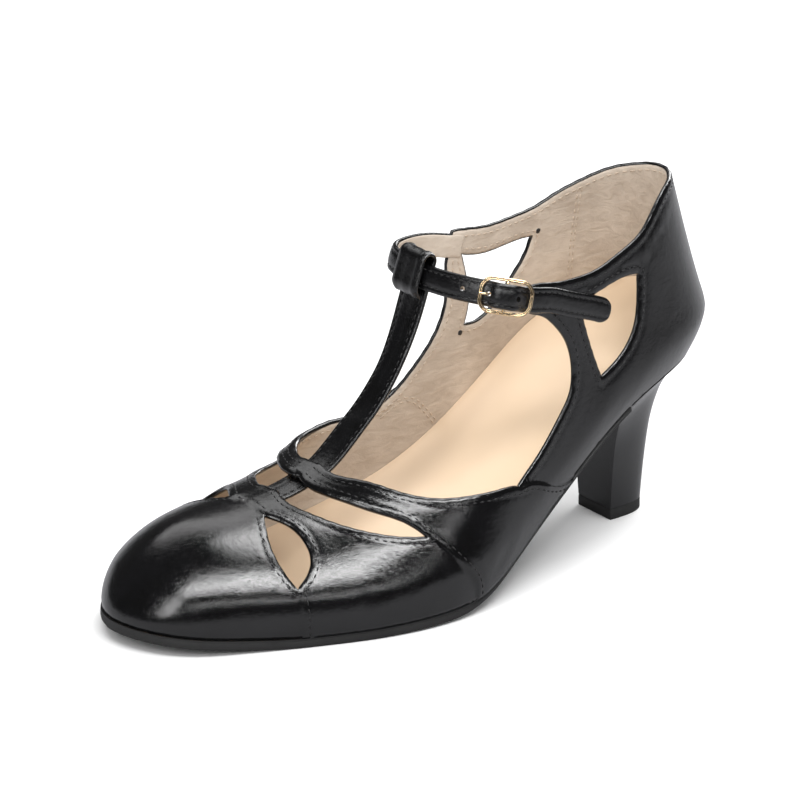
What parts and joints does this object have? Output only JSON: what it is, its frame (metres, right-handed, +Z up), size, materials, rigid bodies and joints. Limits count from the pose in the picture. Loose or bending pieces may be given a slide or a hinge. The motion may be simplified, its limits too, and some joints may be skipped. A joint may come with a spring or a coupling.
{
  "type": "t-strap shoe",
  "caption": "Left T-strap court shoe with a curved heel, cut-out quarters, a slit and teardrop holes in the vamp, and a buckled ankle strap.",
  "frame": {"origin": "middle of the heel's ground face", "axes": "+X to the toe, +Y to the outer (left) side, +Z up"},
  "size_m": [0.2413, 0.0932, 0.1222],
  "materials": {
    "black_leather": "glossy, finely crinkled",
    "black_rubber": "satin",
    "tan_insole": "smooth, matte",
    "beige_lining": "matte, finely wrinkled",
    "gold_metal": "polished"
  },
  "bodies": {
    "root": {"outsole": "black_rubber", "heel": "black_leather", "heel_top_piece": "black_rubber", "insole": "tan_insole", "upper": "black_leather", "t_strap": "black_leather", "ankle_strap": "black_leather", "buckle_frame": "gold_metal", "buckle_prong": "gold_metal"}
  },
  "joints": []
}
